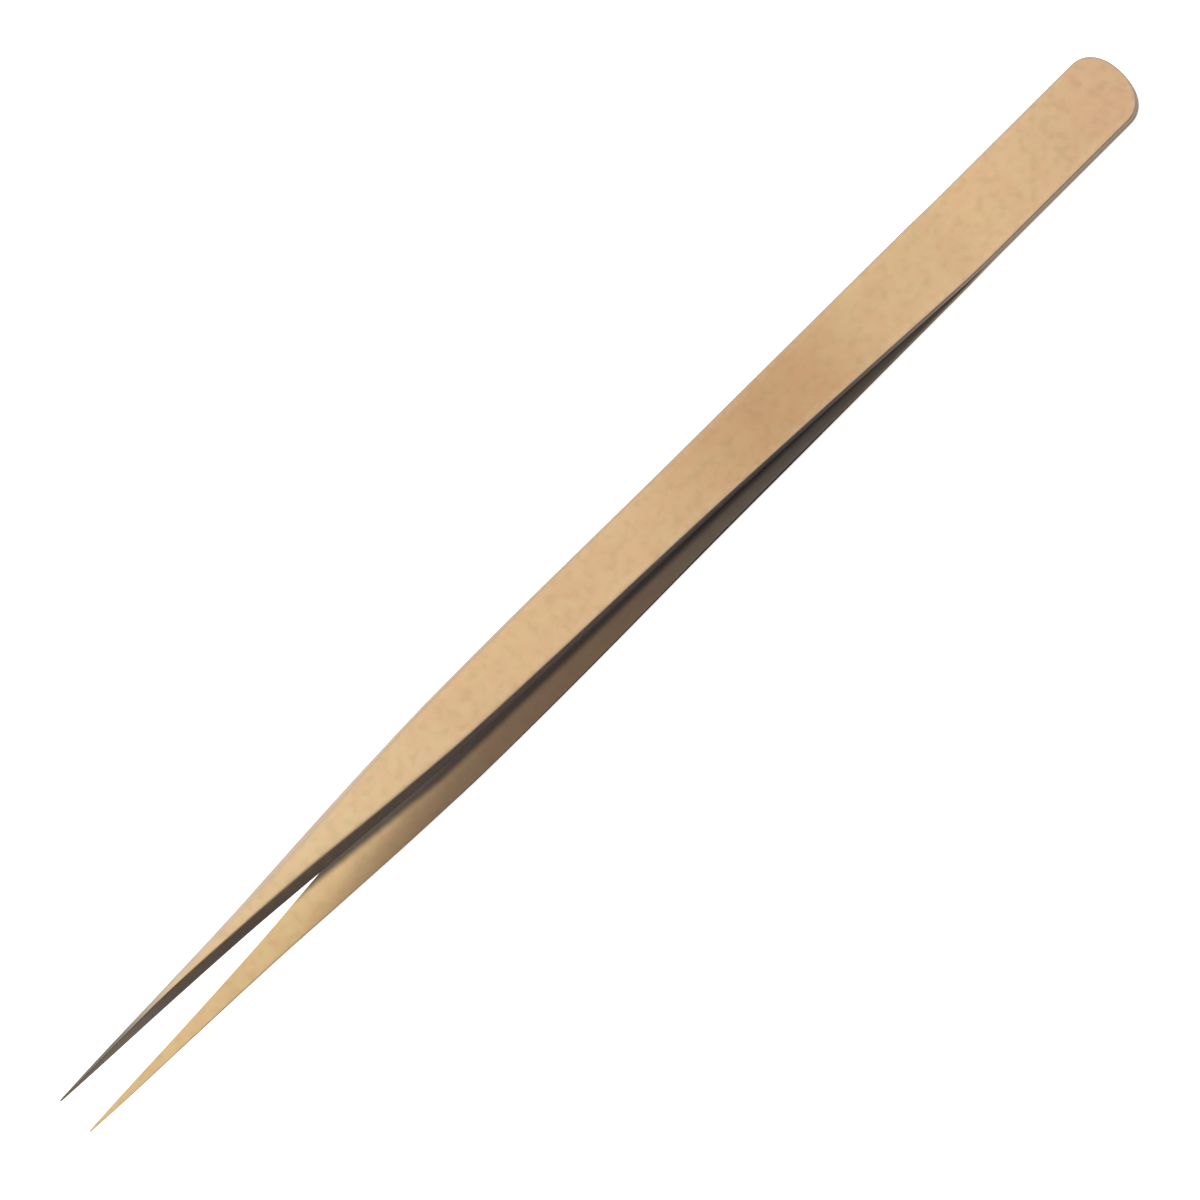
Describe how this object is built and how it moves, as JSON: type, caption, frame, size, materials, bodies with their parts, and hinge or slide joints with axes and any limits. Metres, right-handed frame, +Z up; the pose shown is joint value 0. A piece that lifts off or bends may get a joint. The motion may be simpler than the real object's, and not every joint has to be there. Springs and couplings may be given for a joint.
{
  "type": "stamp tongs",
  "caption": "Long straight stamp tongs: bowed spring leaves spot welded at a rounded butt, with bevelled flanks and slender points that meet when pinched.",
  "frame": {"origin": "middle of the footprint, on the surface that the tongs lie on", "axes": "+Z up, +X from the points to the butt, +Y across the leaves' width"},
  "size_m": [0.1552, 0.0088, 0.0183],
  "materials": {
    "leaf_gold": "satin gold plate, finely matt",
    "weld_steel": "fused steel"
  },
  "bodies": {
    "root": {"upper_leaf_heel": "leaf_gold", "lower_leaf_heel": "leaf_gold", "weld_nugget_centre": "weld_steel", "weld_nugget_front": "weld_steel", "weld_nugget_rear": "weld_steel"},
    "upper_arm": {"upper_leaf_arm": "leaf_gold"},
    "lower_arm": {"lower_leaf_arm": "leaf_gold"}
  },
  "joints": [
    {"name": "upper_flex", "type": "hinge", "parent": "root", "child": "upper_arm", "pos_m": [0.03975, 0, 0.00503], "axis": [0, -1, 0], "range_deg": [0, 3.8], "stiffness_Nm_per_rad": 1.5},
    {"name": "lower_flex", "type": "hinge", "parent": "root", "child": "lower_arm", "pos_m": [0.03953, 0, 0.0014], "axis": [0, 1, 0], "range_deg": [0, 3.8], "stiffness_Nm_per_rad": 1.5}
  ],
  "couplings": [
    {"joint": "lower_flex", "follows": "upper_flex", "ratio": 1}
  ]
}
